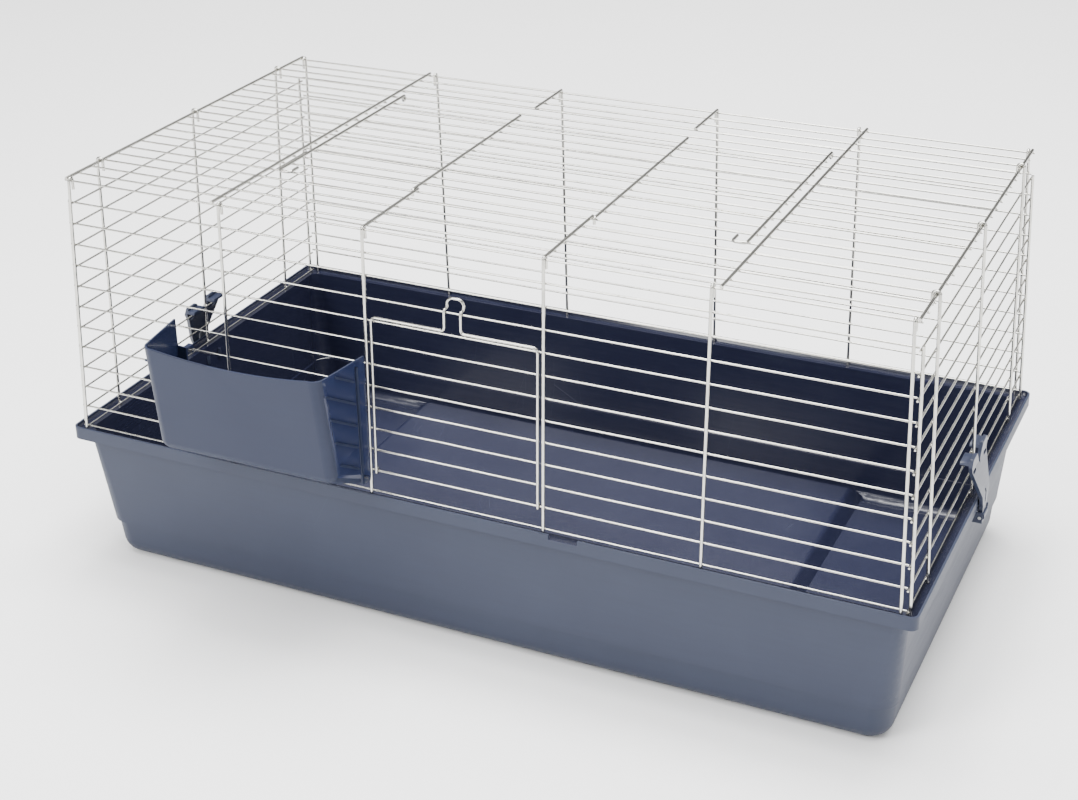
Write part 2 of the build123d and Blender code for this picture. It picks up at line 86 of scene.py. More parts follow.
# ---- camera ----
def rolled_camera(name, place, azimuth, elevation, roll, lens, shift_y):
    """Camera that looks along +Y turned by azimuth, down by elevation, with a small roll."""
    a, e, r = (math.radians(v) for v in (azimuth, elevation, roll))
    ahead = Vector((-math.sin(a) * math.cos(e), math.cos(a) * math.cos(e), -math.sin(e)))
    level = Vector((math.cos(a), math.sin(a), 0))
    above = level.cross(ahead)
    right = math.cos(r) * level + math.sin(r) * above
    up = math.cos(r) * above - math.sin(r) * level
    camera = bpy.data.objects.new(name, bpy.data.cameras.new(name))
    bpy.context.collection.objects.link(camera)
    camera.matrix_world = Matrix.Translation(place) @ Matrix((right, up, -ahead)).transposed().to_4x4()
    camera.data.lens = lens
    camera.data.shift_y = shift_y
    camera.data.clip_end = 20
    return camera


CAMERA_PLACE = (0.8243, MID_Y - 1.7887, RIM_TOP + 1.0193)
bpy.context.scene.camera = rolled_camera("view_camera", CAMERA_PLACE, azimuth=25.31, elevation=25.249,
                                         roll=-0.928, lens=62.39, shift_y=-0.0557)


# ---- node helpers ----
class Nodes:
    """Short way to place and join nodes in one tree."""

    def __init__(self, tree):
        self.tree = tree

    def add(self, kind, inputs=None, **settings):
        node = self.tree.nodes.new(kind)
        for name, value in settings.items():
            setattr(node, name, value)
        for key, value in (inputs or {}).items():
            if isinstance(value, bpy.types.NodeSocket):
                self.tree.links.new(value, node.inputs[key])
            else:
                node.inputs[key].default_value = value
        return node

    def math(self, operation, *values):
        return self.add("ShaderNodeMath", dict(enumerate(values)), operation=operation).outputs[0]

    def vector(self, operation, *values):
        return self.add("ShaderNodeVectorMath", dict(enumerate(values)), operation=operation).outputs[0]


def grouped(name, kind, inputs, outputs):
    """New node group with named inputs and outputs; returns its helper and its inner in and out nodes."""
    tree = bpy.data.node_groups.new(name, kind)
    for way, sockets in (("INPUT", inputs), ("OUTPUT", outputs)):
        for label, socket_type, *start in sockets:
            item = tree.interface.new_socket(label, in_out=way, socket_type="NodeSocket" + socket_type)
            if start:
                item.default_value = start[0]
    n = Nodes(tree)
    return n, tree.nodes.new("NodeGroupInput").outputs, tree.nodes.new("NodeGroupOutput").inputs


# ---- surface effects shared by the materials ----
def moulded_grain_group():
    """Fine grain, faint flow streaks and scuffs of moulded plastic."""
    n, given, result = grouped("moulded_grain", "ShaderNodeTree", (
        ("Grain size", "Float", 900.0), ("Grain depth", "Float", 0.3), ("Scuffs", "Float", 0.3),
        ("Colour", "Color", (0.1, 0.12, 0.2, 1)), ("Worn colour", "Color", (0.2, 0.22, 0.3, 1)),
        ("Roughness", "Float", 0.5)), (("Colour", "Color"), ("Roughness", "Float"), ("Height", "Float")))
    links = n.tree.links
    place = n.add("ShaderNodeTexCoord").outputs["Object"]
    grain = n.add("ShaderNodeTexNoise", {"Vector": place, "Scale": given["Grain size"], "Detail": 3.0,
                                         "Roughness": 0.6}).outputs["Fac"]
    broad = n.add("ShaderNodeTexNoise", {"Vector": place, "Scale": 9.0, "Detail": 4.0}).outputs["Fac"]
    stretched = n.vector("MULTIPLY", place, (14.0, 14.0, 160.0))
    streaks = n.add("ShaderNodeTexNoise", {"Vector": stretched, "Scale": 1.0, "Detail": 5.0,
                                           "Roughness": 0.65}).outputs["Fac"]
    scratch = n.add("ShaderNodeTexVoronoi", {"Vector": n.vector("MULTIPLY", place, (30.0, 24.0, 9.0)),
                                             "Scale": 1.0}, feature="DISTANCE_TO_EDGE").outputs["Distance"]
    line = n.add("ShaderNodeMapRange", {"Value": scratch, "From Max": 0.006, "To Min": 1.0,
                                        "To Max": 0.0}).outputs["Result"]
    rare = n.add("ShaderNodeMapRange", {"Value": broad, "From Min": 0.55, "From Max": 0.72}).outputs["Result"]
    scuff = n.math("MULTIPLY", n.math("MULTIPLY", line, rare), given["Scuffs"])
    cloud = n.math("MULTIPLY", n.math("SUBTRACT", n.math("ADD", broad, streaks), 1.0), 0.35)
    worn = n.add("ShaderNodeClamp", {"Value": n.math("ADD", n.math("ADD", scuff, cloud), 0.1)}).outputs[0]
    mixed = n.add("ShaderNodeMix", {"Factor": worn}, data_type="RGBA")
    links.new(given["Colour"], mixed.inputs[6])
    links.new(given["Worn colour"], mixed.inputs[7])
    links.new(mixed.outputs[2], result["Colour"])
    links.new(n.math("ADD", given["Roughness"], n.math("MULTIPLY", n.math("SUBTRACT", streaks, 0.5), 0.18)),
              result["Roughness"])
    links.new(n.math("SUBTRACT", n.math("MULTIPLY", grain, given["Grain depth"]), scuff), result["Height"])
    return n.tree


MOULDED_GRAIN = moulded_grain_group()


def drawn_metal_group():
    """Bright plated wire: cloudy brightness, fine grain and dull spots."""
    n, given, result = grouped("drawn_metal", "ShaderNodeTree", (
        ("Colour", "Color", (0.8, 0.8, 0.8, 1)), ("Dull colour", "Color", (0.5, 0.5, 0.5, 1)),
        ("Roughness", "Float", 0.25), ("Spots", "Float", 0.5)),
        (("Colour", "Color"), ("Roughness", "Float"), ("Height", "Float")))
    links = n.tree.links
    place = n.add("ShaderNodeTexCoord").outputs["Object"]
    cloud = n.add("ShaderNodeTexNoise", {"Vector": place, "Scale": 45.0, "Detail": 4.0}).outputs["Fac"]
    fine = n.add("ShaderNodeTexNoise", {"Vector": place, "Scale": 900.0, "Detail": 2.0}).outputs["Fac"]
    dull = n.add("ShaderNodeMapRange", {"Value": cloud, "From Min": 0.45, "From Max": 0.75,
                                        "To Max": 1.0}).outputs["Result"]
    dull = n.math("MULTIPLY", dull, given["Spots"])
    mixed = n.add("ShaderNodeMix", {"Factor": dull}, data_type="RGBA")
    links.new(given["Colour"], mixed.inputs[6])
    links.new(given["Dull colour"], mixed.inputs[7])
    links.new(mixed.outputs[2], result["Colour"])
    links.new(n.math("ADD", given["Roughness"], n.math("MULTIPLY", dull, 0.25)), result["Roughness"])
    links.new(fine, result["Height"])
    return n.tree


DRAWN_METAL = drawn_metal_group()


def finished(name, group, values, bump, shader_values):
    """Material: one shared effect feeding a Principled shader that keeps its own plain values."""
    material = bpy.data.materials.new(name)
    material.use_nodes = True
    n = Nodes(material.node_tree)
    material.node_tree.nodes.clear()
    shader = n.add("ShaderNodeBsdfPrincipled", shader_values)
    out = n.add("ShaderNodeOutputMaterial", {"Surface": shader.outputs[0]})
    effect = n.add("ShaderNodeGroup", node_tree=group)
    for key, value in values.items():
        effect.inputs[key].default_value = value
    links = material.node_tree.links
    links.new(effect.outputs["Colour"], shader.inputs["Base Color"])
    links.new(effect.outputs["Roughness"], shader.inputs["Roughness"])
    strength, depth = bump
    raised = n.add("ShaderNodeBump", {"Strength": strength, "Distance": depth,
                                      "Height": effect.outputs["Height"]})
    links.new(raised.outputs["Normal"], shader.inputs["Normal"])
    out.location = (600, 0)
    shader.location = (300, 0)
    raised.location = (60, -200)
    effect.location = (-200, 0)
    return material


TRAY_OUTSIDE = finished("tray_plastic_matte", MOULDED_GRAIN, {
    "Colour": (0.021, 0.027, 0.051, 1), "Worn colour": (0.045, 0.056, 0.092, 1), "Roughness": 0.5,
    "Grain size": 1400.0, "Grain depth": 0.25, "Scuffs": 0.25},
    (0.25, 0.0004), {"IOR": 1.49, "Specular IOR Level": 0.35})
# the tray's inside: the same plastic as the outside, polished, with its colour made darker as painted shade
TRAY_INSIDE_PAINTED_SHADE = finished("tray_plastic_polished_painted_shade", MOULDED_GRAIN, {
    "Colour": (0.013, 0.015, 0.034, 1), "Worn colour": (0.04, 0.044, 0.072, 1), "Roughness": 0.2,
    "Grain size": 500.0, "Grain depth": 0.08, "Scuffs": 0.7},
    (0.12, 0.0006), {"IOR": 1.49, "Specular IOR Level": 0.5})
FEEDER_OUTSIDE = finished("feeder_plastic_matte", MOULDED_GRAIN, {
    "Colour": (0.013, 0.018, 0.041, 1), "Worn colour": (0.03, 0.04, 0.07, 1), "Roughness": 0.48,
    "Grain size": 1400.0, "Grain depth": 0.2, "Scuffs": 0.15},
    (0.2, 0.0004), {"IOR": 1.49, "Specular IOR Level": 0.25})
FEEDER_POLISHED = finished("feeder_plastic_polished", MOULDED_GRAIN, {
    "Colour": (0.016, 0.022, 0.058, 1), "Worn colour": (0.03, 0.04, 0.08, 1), "Roughness": 0.2,
    "Grain size": 700.0, "Grain depth": 0.08, "Scuffs": 0.3},
    (0.12, 0.0004), {"IOR": 1.49, "Specular IOR Level": 0.45})
CLIP_PLASTIC = finished("clip_plastic", MOULDED_GRAIN, {
    "Colour": (0.017, 0.022, 0.045, 1), "Worn colour": (0.04, 0.05, 0.085, 1), "Roughness": 0.34,
    "Grain size": 1600.0, "Grain depth": 0.2, "Scuffs": 0.3},
    (0.2, 0.0003), {"IOR": 1.49, "Specular IOR Level": 0.4})
ZINC = finished("bright_zinc", DRAWN_METAL, {
    "Colour": (0.58, 0.57, 0.53, 1), "Dull colour": (0.34, 0.34, 0.32, 1), "Roughness": 0.17,
    "Spots": 0.5}, (0.15, 0.0002), {"Metallic": 1.0})
PIN_STEEL = finished("pin_steel", DRAWN_METAL, {
    "Colour": (0.5, 0.5, 0.5, 1), "Dull colour": (0.35, 0.35, 0.35, 1), "Roughness": 0.32,
    "Spots": 0.5}, (0.15, 0.0002), {"Metallic": 1.0})

SLOT_MATERIALS = {"tray_plastic": TRAY_OUTSIDE, "feeder_plastic": FEEDER_OUTSIDE,
                  "clip_plastic": CLIP_PLASTIC, "zinc_wire": ZINC, "pin_steel": PIN_STEEL}
NODE_SLOT = {row["node"]: row["material_slot"] for row in frame["record"]["subparts"]}
for node_name, node in frame["nodes"].items():
    node.data.materials.clear()
    node.data.materials.append(SLOT_MATERIALS[NODE_SLOT[node_name]])


# ---- wire-making node trees ----
def wire_skin(n, curve, given, result):
    """Last steps of both wire trees: round section, smooth shading, real mesh, material."""
    section = n.add("GeometryNodeCurvePrimitiveCircle",
                    {"Resolution": given["Sides"], "Radius": given["Radius"]}).outputs["Curve"]
    skin = n.add("GeometryNodeCurveToMesh", {"Curve": curve, "Profile Curve": section, "Fill Caps": True})
    smooth = n.add("GeometryNodeSetShadeSmooth", {"Geometry": skin.outputs["Mesh"]}).outputs[0]
    real = n.add("GeometryNodeRealizeInstances", {"Geometry": smooth}).outputs[0]
    coated = n.add("GeometryNodeSetMaterial", {"Geometry": real, "Material": given["Material"]}).outputs[0]
    n.tree.links.new(coated, result["Geometry"])


BAR_SIDES = 10
UPRIGHT_SIDES = 12
BEND_STEPS = 8
WIRE_INPUTS = (("Radius", "Float", BAR_R), ("Sides", "Int", BAR_SIDES), ("Material", "Material"))


def bar_rows_tree():
    """Evenly spaced straight wires: both ends run in a line from the first wire to the last."""
    n, given, result = grouped("bar_rows", "GeometryNodeTree", (
        ("Count", "Int", BAR_ROWS), ("First start", "Vector"), ("First end", "Vector"),
        ("Last start", "Vector"), ("Last end", "Vector"), ("Bow", "Vector"),
        ("Seed", "Float", 0.0)) + WIRE_INPUTS,
        (("Geometry", "Geometry"),))
    line = n.add("GeometryNodeCurvePrimitiveLine").outputs["Curve"]
    parted = n.add("GeometryNodeResampleCurve", {"Curve": line, "Count": 17}).outputs["Curve"]
    copies = n.add("GeometryNodeDuplicateElements", {"Geometry": parted, "Amount": given["Count"]},
                   domain="SPLINE")
    gaps = n.math("MAXIMUM", n.math("SUBTRACT", given["Count"], 1.0), 1.0)
    row = n.math("DIVIDE", copies.outputs["Duplicate Index"], gaps)
    along = n.add("GeometryNodeSplineParameter").outputs["Factor"]

    def between(low, high, factor):
        step = n.add("ShaderNodeVectorMath", {0: n.vector("SUBTRACT", high, low)}, operation="SCALE")
        n.tree.links.new(factor, step.inputs["Scale"])
        return n.vector("ADD", low, step.outputs[0])

    start = between(given["First start"], given["Last start"], row)
    end = between(given["First end"], given["Last end"], row)
    place = between(start, end, along)
    # each wire bows a little between its ends, by its own amount
    along_wave = n.math("ADD", given["Seed"], n.math("MULTIPLY", along, 3.0))
    wave = n.math("ADD", n.math("MULTIPLY", row, 37.0), along_wave)
    noise = n.add("ShaderNodeTexNoise", {"W": wave, "Scale": 1.0, "Detail": 1.0},
                  noise_dimensions="1D").outputs["Fac"]
    pinned = n.math("SINE", n.math("MULTIPLY", along, math.pi))
    bowed = n.add("ShaderNodeVectorMath", {0: given["Bow"]}, operation="SCALE")
    n.tree.links.new(n.math("MULTIPLY", n.math("SUBTRACT", noise, 0.5), pinned), bowed.inputs["Scale"])
    placed = n.add("GeometryNodeSetPosition", {"Geometry": copies.outputs["Geometry"],
                                               "Position": n.vector("ADD", place, bowed.outputs[0])})
    wire_skin(n, placed.outputs[0], given, result)
    return n.tree


def bent_wires_tree():
    """Wires along the edges of the given mesh, bent at each point by its own bend radius."""
    n, given, result = grouped("bent_wires", "GeometryNodeTree", (
        ("Geometry", "Geometry"), ("Bend steps", "Int", BEND_STEPS)) + WIRE_INPUTS,
        (("Geometry", "Geometry"),))
    curve = n.add("GeometryNodeMeshToCurve", {"Mesh": given["Geometry"]}).outputs[0]
    bend = n.add("GeometryNodeInputNamedAttribute", {"Name": "bend"}, data_type="FLOAT").outputs["Attribute"]
    rounded = n.add("GeometryNodeFilletCurve", {"Curve": curve, "Count": given["Bend steps"],
                                                "Radius": bend, "Limit Radius": True}, mode="POLY")
    wire_skin(n, rounded.outputs[0], given, result)
    return n.tree


def weld_beads_tree():
    """Round bead of melted metal at every given point, each of a slightly different size."""
    n, given, result = grouped("weld_beads", "GeometryNodeTree", (
        ("Geometry", "Geometry"), ("Size", "Float", 1.5 * MM), ("Spread", "Float", 0.15), ("Seed", "Int", 3),
        ("Material", "Material")), (("Geometry", "Geometry"),))
    points = n.add("GeometryNodeMeshToPoints", {"Mesh": given["Geometry"]}).outputs[0]
    bead = n.add("GeometryNodeMeshUVSphere",
                 {"Segments": 8, "Rings": 5, "Radius": given["Size"]}).outputs["Mesh"]
    least = n.math("SUBTRACT", 1.0, given["Spread"])
    size = n.add("FunctionNodeRandomValue", {2: least, 3: n.math("ADD", 1.0, given["Spread"]),
                                             "Seed": given["Seed"]}, data_type="FLOAT").outputs[1]
    beads = n.add("GeometryNodeInstanceOnPoints",
                  {"Points": points, "Instance": bead, "Scale": size}).outputs[0]
    real = n.add("GeometryNodeRealizeInstances", {"Geometry": beads}).outputs[0]
    smooth = n.add("GeometryNodeSetShadeSmooth", {"Geometry": real}).outputs[0]
    coated = n.add("GeometryNodeSetMaterial", {"Geometry": smooth, "Material": given["Material"]}).outputs[0]
    n.tree.links.new(coated, result["Geometry"])
    return n.tree


BAR_ROWS_TREE = bar_rows_tree()
BENT_WIRES_TREE = bent_wires_tree()
WELD_BEADS_TREE = weld_beads_tree()


def made_by_tree(name, tree, values, points=(), edges=(), bends=()):
    """Run a tree on a small guide mesh and keep the result as a plain mesh object."""
    guide = bpy.data.meshes.new(name + "_guide")
    guide.from_pydata([tuple(p) for p in points], list(edges), [])
    if bends:
        guide.attributes.new("bend", "FLOAT", "POINT").data.foreach_set("value", list(bends))
    holder = bpy.data.objects.new(name + "_guide", guide)
    bpy.context.collection.objects.link(holder)
    modifier = holder.modifiers.new("wire", "NODES")
    modifier.node_group = tree
    sockets = {s.name: s.identifier for s in tree.interface.items_tree if s.in_out == "INPUT"}
    for label, value in values.items():
        modifier[sockets[label]] = value
    holder.update_tag()
    bpy.context.view_layer.update()
    mesh = bpy.data.meshes.new_from_object(holder.evaluated_get(bpy.context.evaluated_depsgraph_get()))
    mesh.name = name
    bpy.data.objects.remove(holder)
    piece = bpy.data.objects.new(name, mesh)
    bpy.context.collection.objects.link(piece)
    return piece


def settled(piece, body, slot, *nodes):
    """Give a finished piece its body and hide the CAD nodes that it stands for; the slot argument is not
    used.
    """
    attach(piece, body)
    if nodes:
        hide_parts(*nodes)
    return piece


def bar_rows(node, body, count, first, last, bow, seed):
    """Wires of one CAD node: first and last are the two ends of the first and of the last wire."""
    piece = made_by_tree(node + "_wires", BAR_ROWS_TREE, {
        "Count": count, "First start": first[0], "First end": first[1], "Last start": last[0],
        "Last end": last[1], "Bow": bow, "Seed": seed, "Radius": BAR_R, "Sides": BAR_SIDES, "Material": ZINC})
    return settled(piece, body, "zinc_wire", node)


def bent_wires(node, body, wires, radius):
    """Bent wires of one CAD node: each is a list of (point, bend radius)."""
    points, edges, bends = [], [], []
    for wire in wires:
        edges += [(len(points) + k, len(points) + k + 1) for k in range(len(wire) - 1)]
        points += [p for p, bend in wire]
        bends += [bend for p, bend in wire]
    piece = made_by_tree(node + "_wires", BENT_WIRES_TREE, {
        "Radius": radius, "Sides": UPRIGHT_SIDES, "Bend steps": BEND_STEPS, "Material": ZINC},
        points, edges, bends)
    return settled(piece, body, "zinc_wire", node)


# ---- wire walls ----
def half_x(z):
    """Half length of the wire walls at height z: they lean in towards the roof."""
    return BASE_HALF.x + (ROOF_HALF.x - BASE_HALF.x) * (z - BASE_Z) / (ROOF_Z - BASE_Z)


def half_y(z):
    """Half depth of the wire walls at height z."""
    return BASE_HALF.y + (ROOF_HALF.y - BASE_HALF.y) * (z - BASE_Z) / (ROOF_Z - BASE_Z)


def on_wall(side, along, z, out=0.0):
    """Point on a wire wall: how far along it, at what height, how far outside its thin wires."""
    if side == "front":
        return Vector((along, MID_Y - half_y(z) - out, z))
    if side == "back":
        return Vector((along, MID_Y + half_y(z) + out, z))
    if side == "left":
        return Vector((-half_x(z) - out, MID_Y + along, z))
    return Vector((half_x(z) + out, MID_Y + along, z))


def bar_z(row):
    """Height of a front or back wire."""
    return BAR_Z0 + row * BAR_PITCH


BAR_BOW = 0.9 * MM                             # a wall wire leaves its straight line by up to half of this
END_BAR_SHORT = 0.3 * MM                       # gap from an end wall's wires to the front and back
LAST_ROW = BAR_ROWS - 1
DOORWAY = UPRIGHT_X[0] - STUB


def wall_bars(node, side, rows, from_x, to_x, seed):
    """Straight wires of the front or back wall; an end of None runs to the corner."""
    ends = []
    for row in (rows[0], rows[-1]):
        z = bar_z(row)
        ends.append([on_wall(side, x, z) for x in (-half_x(z) if from_x is None else from_x,
                                                   half_x(z) if to_x is None else to_x)])
    bar_rows(node, "cage", len(rows), ends[0], ends[1], (0, 0, BAR_BOW), seed=seed)


wall_bars("front_sill_bars", "front", range(0, 2), None, None, 1.3)
wall_bars("front_lintel_bars", "front", range(8, BAR_ROWS), None, None, 5.1)
wall_bars("front_left_bars", "front", range(2, 8), None, -DOORWAY, 9.7)
wall_bars("front_right_bars", "front", range(2, 8), DOORWAY, None, 14.2)
wall_bars("back_bars", "back", range(BAR_ROWS), None, None, 21.9)
for side, seed in (("left", 33.1), ("right", 47.6)):
    end_rows = []
    for row in (0, LAST_ROW):
        z = bar_z(row) - SIDE_DROP
        reach = half_y(z) - BAR_R - END_BAR_SHORT
        end_rows.append([on_wall(side, -reach, z), on_wall(side, reach, z)])
    bar_rows(side + "_bars", "cage", BAR_ROWS, end_rows[0], end_rows[1], (0, 0, BAR_BOW), seed=seed)


HOOK_BEND = 0.93                               # bend radius of a hook, as a share of its half width


def hooked_upright(side, along_base, along_top, edge_z, edge_r):
    """Thick wire that stands on the tray's ledge and curls over an edge wire of the roof."""
    reach = edge_r + UPRIGHT_R + HOOK_PLAY
    top_z = edge_z + reach
    foot = on_wall(side, along_base, BASE_Z + FOOT_RISE, WELD_GAP)
    outer = on_wall(side, along_top, top_z, WELD_GAP)
    inward = (on_wall(side, along_top, top_z, 0) - outer).normalized()
    inner = outer + inward * 2 * reach
    tail = inner - Vector((0, 0, reach + HOOK_TAIL))
    return [(foot, 0.0), (outer, reach * HOOK_BEND), (inner, reach * HOOK_BEND), (tail, 0.0)]


CORNER_X = (half_x(BASE_Z) - CORNER_INSET, half_x(ROOF_Z) - CORNER_INSET)
ROW_ENDS = [(x, x) for x in UPRIGHT_X] + [CORNER_X]
for node, side, ends in (("front_left_uprights", "front", (-1,)), ("front_right_uprights", "front", (1,)),
                         ("back_uprights", "back", (-1, 1))):
    bent_wires(node, "cage", [hooked_upright(side, end * low, end * high, ROOF_Z, BAR_R)
                              for end in ends for low, high in ROW_ENDS], UPRIGHT_R)
END_CORNER_OUT = BAR_R + 1.4 * MM - WELD_SINK  # an end wall's corner wires, outside its thin ones


def end_corner_wire(side, corner):
    """Straight wire at one corner of an end wall, from the ledge to the top thin wire."""
    return [(on_wall(side, corner * (half_y(z) - CORNER_INSET), z, END_CORNER_OUT), 0.0)
            for z in (BASE_Z + FOOT_RISE, bar_z(LAST_ROW))]


for side in ("left", "right"):
    hooked = [hooked_upright(side, along, along, END_WIRE_Z, UPRIGHT_R) for along in UPRIGHT_Y]
    corners = [end_corner_wire(side, corner) for corner in (-1, 1)]
    bent_wires(side + "_uprights", "cage", hooked + corners, UPRIGHT_R)


# ---- roof ----
def roof_y(row):
    """Place of a roof wire, counted from the front."""
    return MID_Y - ROOF_HALF.y + row * ROOF_PITCH


ROOF_BOW = (0, 1.6 * MM, 0)
HATCH_ROWS = range(6, 17)
REST_ROW = 5                                   # roof wire that the hatch rests on
HINGE_ROW = 17                                 # roof wire that the hatch turns on
ROOF_END_X = ROOF_HALF.x + WELD_GAP - 2 * UPRIGHT_R - HOOK_PLAY
ROOF_GROUPS = {"roof_front_bars": (range(0, REST_ROW + 1), -ROOF_END_X - STUB, ROOF_END_X + STUB, 3.3),
               "roof_rear_bars": (range(HINGE_ROW, ROOF_ROWS), -ROOF_END_X - STUB, ROOF_END_X + STUB, 8.9),
               "roof_left_bars": (HATCH_ROWS, -ROOF_END_X - STUB, STUB - CROSS_X[1], 17.4),
               "roof_right_bars": (HATCH_ROWS, CROSS_X[1] - STUB, ROOF_END_X + STUB, 26.8)}
for node, (rows, from_x, to_x, seed) in ROOF_GROUPS.items():
    ends = [[Vector((x, roof_y(row), ROOF_Z)) for x in (from_x, to_x)] for row in (rows[0], rows[-1])]
    bar_rows(node, "cage", len(rows), ends[0], ends[1], ROOF_BOW, seed=seed)


def cross_wires(node, places, from_y, to_y):
    """Thick roof wires across the cage, on top of the thin ones."""
    bent_wires(node, "cage", [[(Vector((x, from_y, END_WIRE_Z)), 0.0), (Vector((x, to_y, END_WIRE_Z)), 0.0)]
                              for x in places], UPRIGHT_R)


CROSS_PAST = 2 * MM                            # cross wires run this far past the wire that they end on
REAR_CROSS_PAST = 4 * MM
EDGE_Y = ROOF_HALF.y + CROSS_PAST
cross_wires("roof_left_cross_wires", (-CROSS_X[1], -ROOF_END_X), MID_Y - EDGE_Y, MID_Y + EDGE_Y)
cross_wires("roof_right_cross_wires", (CROSS_X[1], ROOF_END_X), MID_Y - EDGE_Y, MID_Y + EDGE_Y)
INNER_X = 103 * MM
cross_wires("roof_front_cross_wires", (-INNER_X, INNER_X), MID_Y - EDGE_Y, roof_y(REST_ROW) + CROSS_PAST)
cross_wires("roof_rear_cross_wires", (-INNER_X, INNER_X), roof_y(HINGE_ROW + 1) - REAR_CROSS_PAST,
            MID_Y + EDGE_Y)


# ---- front door ----
def arc(centre, radius, from_turn, turn, x, steps=18):
    """Points round a hinge wire, for an eye at length x."""
    angles = [from_turn + turn * k / steps for k in range(1, steps + 1)]
    return [(Vector((x, centre.y + radius * math.cos(a), centre.z + radius * math.sin(a))), 0.0)
            for a in angles]


DOOR_R = 1.5 * MM
DOOR_HALF = 96.5 * MM
HINGE_PLAY = 0.08 * MM
EYE_TURN = 1.6 * math.pi                       # how far an eye goes round its hinge wire
DOOR_ROWS = range(2, 8)
HANDLE_HALF = 9.5 * MM
HANDLE_IN = 5.0 * MM
HANDLE_RISE = 11.0 * MM
LATCH_PLAY = 0.35 * MM                         # between the handle's shoulder and the wire that latches it
DOOR_TOP_RISE = 5 * MM                         # door's top above the lowest wire over the doorway
LEAN = math.atan((BASE_HALF.y - ROOF_HALF.y) / (ROOF_Z - BASE_Z))
door_hinge = on_wall("front", 0, bar_z(1))
EYE_R = BAR_R + HINGE_PLAY + DOOR_R
FRAME_OUT = EYE_R / math.cos(LEAN)
LINTEL_ROW = 8
LATCH_ROW = 9
door_top_z = bar_z(LINTEL_ROW) + DOOR_TOP_RISE
shoulder_z = bar_z(LATCH_ROW) + BAR_R + LATCH_PLAY + DOOR_R
door_foot_z = door_hinge.z + EYE_R * math.sin(LEAN)


def door_side(end):
    """Half of the door's frame wire, from the middle of the handle to the tip of one eye."""
    outline = ((HANDLE_HALF, shoulder_z + HANDLE_RISE, -HANDLE_IN, 7.0),
               (HANDLE_HALF, shoulder_z, -HANDLE_IN, 2.4),
               (HANDLE_HALF, shoulder_z, FRAME_OUT, 2.4),
               (HANDLE_HALF, door_top_z, FRAME_OUT, 4.0),
               (DOOR_HALF, door_top_z, FRAME_OUT, 6.0),
               (DOOR_HALF, door_foot_z, FRAME_OUT, 0.0))
    bent = [(on_wall("front", end * x, z, out), bend * MM) for x, z, out, bend in outline]
    return bent + arc(door_hinge, EYE_R, math.pi - LEAN, EYE_TURN, end * DOOR_HALF)


bent_wires("door_frame", "front_door", [list(reversed(door_side(-1))) + door_side(1)], DOOR_R)
FREE_BAR_OUT = 0.15 * MM                       # the door's and the hatch's wires stand this far out
DOOR_BAR_X = DOOR_HALF + 0.8 * MM
door_ends = [[on_wall("front", x, bar_z(row), FREE_BAR_OUT) for x in (-DOOR_BAR_X, DOOR_BAR_X)]
             for row in (DOOR_ROWS[0], DOOR_ROWS[-1])]
bar_rows("door_bars", "front_door", len(DOOR_ROWS), door_ends[0], door_ends[1], (0, 0, BAR_BOW), seed=61.0)

# ---- roof hatch ----
HATCH_HALF = 274 * MM
HATCH_INNER = 107 * MM
FINGER = 15 * MM                               # width of the bent finger at each front corner
FINGER_BACK = 9 * MM
FINGER_BEND = 4 * MM
NOSE = 7 * MM                                  # how far the side wires run past the wire that they rest on
CATCH_PLAY = 0.6 * MM
CATCH_DROP = 4 * MM
CATCH_BEND = 1.95 * MM
INNER_PAST = 9 * MM
HATCH_EYE_R = BAR_R + HINGE_PLAY + UPRIGHT_R
HATCH_Z = ROOF_Z + HATCH_EYE_R
rest_y = roof_y(REST_ROW)
hinge_y = roof_y(HINGE_ROW)
nose_y = rest_y - NOSE
tip_y = rest_y - BAR_R - UPRIGHT_R - CATCH_PLAY


def hatch_side(end):
    """Side wire of the hatch: a bent finger in front, a straight run and an eye on the hinge wire."""
    finger_x = end * (HATCH_HALF - FINGER)
    side_x = end * HATCH_HALF
    outline = (((finger_x, rest_y + FINGER_BACK), 0.0), ((finger_x, nose_y), FINGER_BEND),
               ((side_x, nose_y), FINGER_BEND), ((side_x, hinge_y), 0.0))
    flat = [(Vector((x, y, HATCH_Z)), bend) for (x, y), bend in outline]
    return flat + arc(Vector((0, hinge_y, ROOF_Z)), HATCH_EYE_R, math.pi / 2, -EYE_TURN, side_x)


def hatch_inner_wire(end):
    """Inner wire of the hatch, with a catch bent down in front of the wire that it rests on."""
    x = end * HATCH_INNER
    return [(Vector((x, tip_y, ROOF_Z - CATCH_DROP)), 0.0),
            (Vector((x, tip_y, HATCH_Z)), CATCH_BEND),
            (Vector((x, roof_y(HATCH_ROWS[-1]) + INNER_PAST, HATCH_Z)), 0.0)]


hatch_wires = [wire for end in (-1, 1) for wire in (hatch_side(end), hatch_inner_wire(end))]
bent_wires("hatch_frame", "roof_hatch", hatch_wires, UPRIGHT_R)
HATCH_BAR_X = HATCH_HALF + STUB
hatch_ends = [[Vector((x, roof_y(row), ROOF_Z + FREE_BAR_OUT)) for x in (-HATCH_BAR_X, HATCH_BAR_X)]
              for row in (HATCH_ROWS[0], HATCH_ROWS[-1])]
bar_rows("hatch_bars", "roof_hatch", len(HATCH_ROWS), hatch_ends[0], hatch_ends[1], ROOF_BOW, seed=73.0)


# ---- weld beads ----
BEAD_SIZE = 1.45 * MM


def weld_beads(name, body, points):
    """One bead at each crossing of two welded wires."""
    beads = made_by_tree(name, WELD_BEADS_TREE, {
        "Size": BEAD_SIZE, "Spread": 0.15, "Seed": 3, "Material": ZINC}, points)
    settled(beads, body, "zinc_wire")


